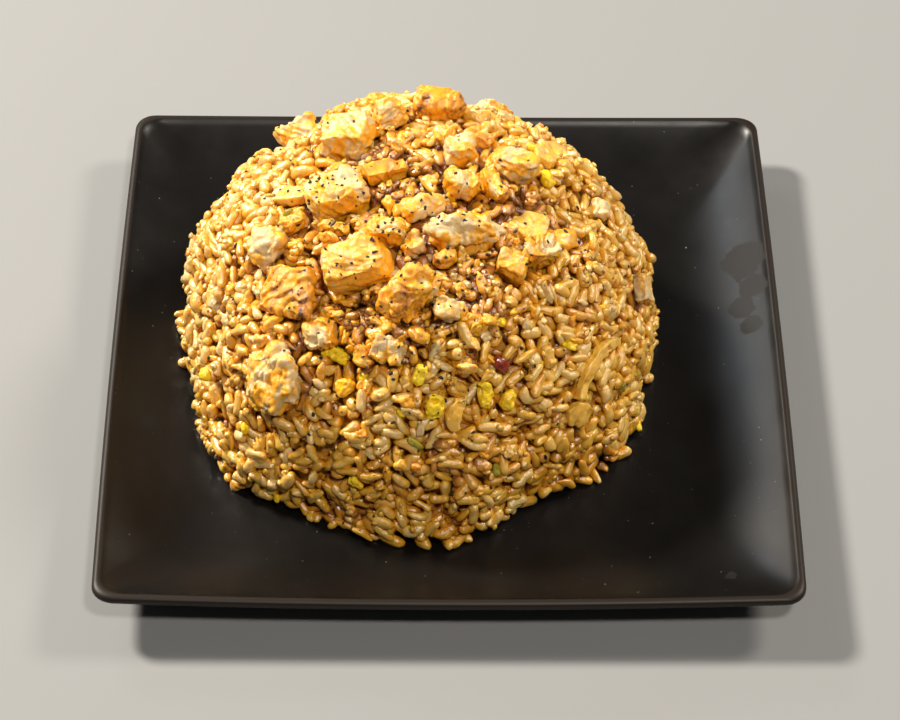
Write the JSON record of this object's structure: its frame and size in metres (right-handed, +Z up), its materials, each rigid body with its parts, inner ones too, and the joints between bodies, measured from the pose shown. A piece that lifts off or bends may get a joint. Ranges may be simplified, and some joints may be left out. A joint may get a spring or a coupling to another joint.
{
  "type": "fried rice plate",
  "caption": "Chicken fried rice turned out of a bowl as a domed mound, with browned chicken on top, on a square black coupe plate.",
  "frame": {"origin": "on the table, under the middle of the plate", "axes": "+X to the right, +Y to the back, +Z up"},
  "size_m": [0.2182, 0.2182, 0.0895],
  "materials": {
    "plate": "satin black glazed stoneware",
    "rice": "moist, glossy, slightly translucent cooked grains",
    "chicken": "seared chicken, pale inside and browned outside",
    "egg": "moist scrambled egg",
    "onion": "wet, translucent cooked onion",
    "chilli": "dried chilli, dark and shiny"
  },
  "bodies": {
    "root": {"chicken_01": "chicken", "chicken_02": "chicken", "chicken_03": "chicken", "chicken_04": "chicken", "chicken_05": "chicken", "chicken_06": "chicken", "chicken_07": "chicken", "chicken_08": "chicken", "chicken_09": "chicken", "chicken_10": "chicken", "chicken_11": "chicken", "chicken_12": "chicken", "chicken_13": "chicken", "chicken_14": "chicken", "chicken_15": "chicken", "chicken_16": "chicken", "chicken_17": "chicken", "chicken_18": "chicken", "chicken_19": "chicken", "chicken_20": "chicken", "chicken_21": "chicken", "chicken_22": "chicken", "chicken_23": "chicken", "chicken_24": "chicken", "chicken_25": "chicken", "chicken_26": "chicken", "chicken_27": "chicken", "chicken_28": "chicken", "chicken_29": "chicken", "chicken_30": "chicken", "chicken_31": "chicken", "chicken_32": "chicken", "chicken_33": "chicken", "chicken_34": "chicken", "chicken_35": "chicken", "chicken_36": "chicken", "chilli": "chilli", "egg_01": "egg", "egg_02": "egg", "egg_03": "egg", "egg_04": "egg", "egg_05": "egg", "egg_06": "egg", "egg_07": "egg", "egg_08": "egg", "egg_09": "egg", "egg_10": "egg", "onion_01": "onion", "onion_02": "onion", "onion_03": "onion", "onion_04": "onion", "onion_05": "onion", "onion_06": "onion", "onion_07": "onion", "plate": "plate", "rice": "rice"}
  },
  "joints": []
}
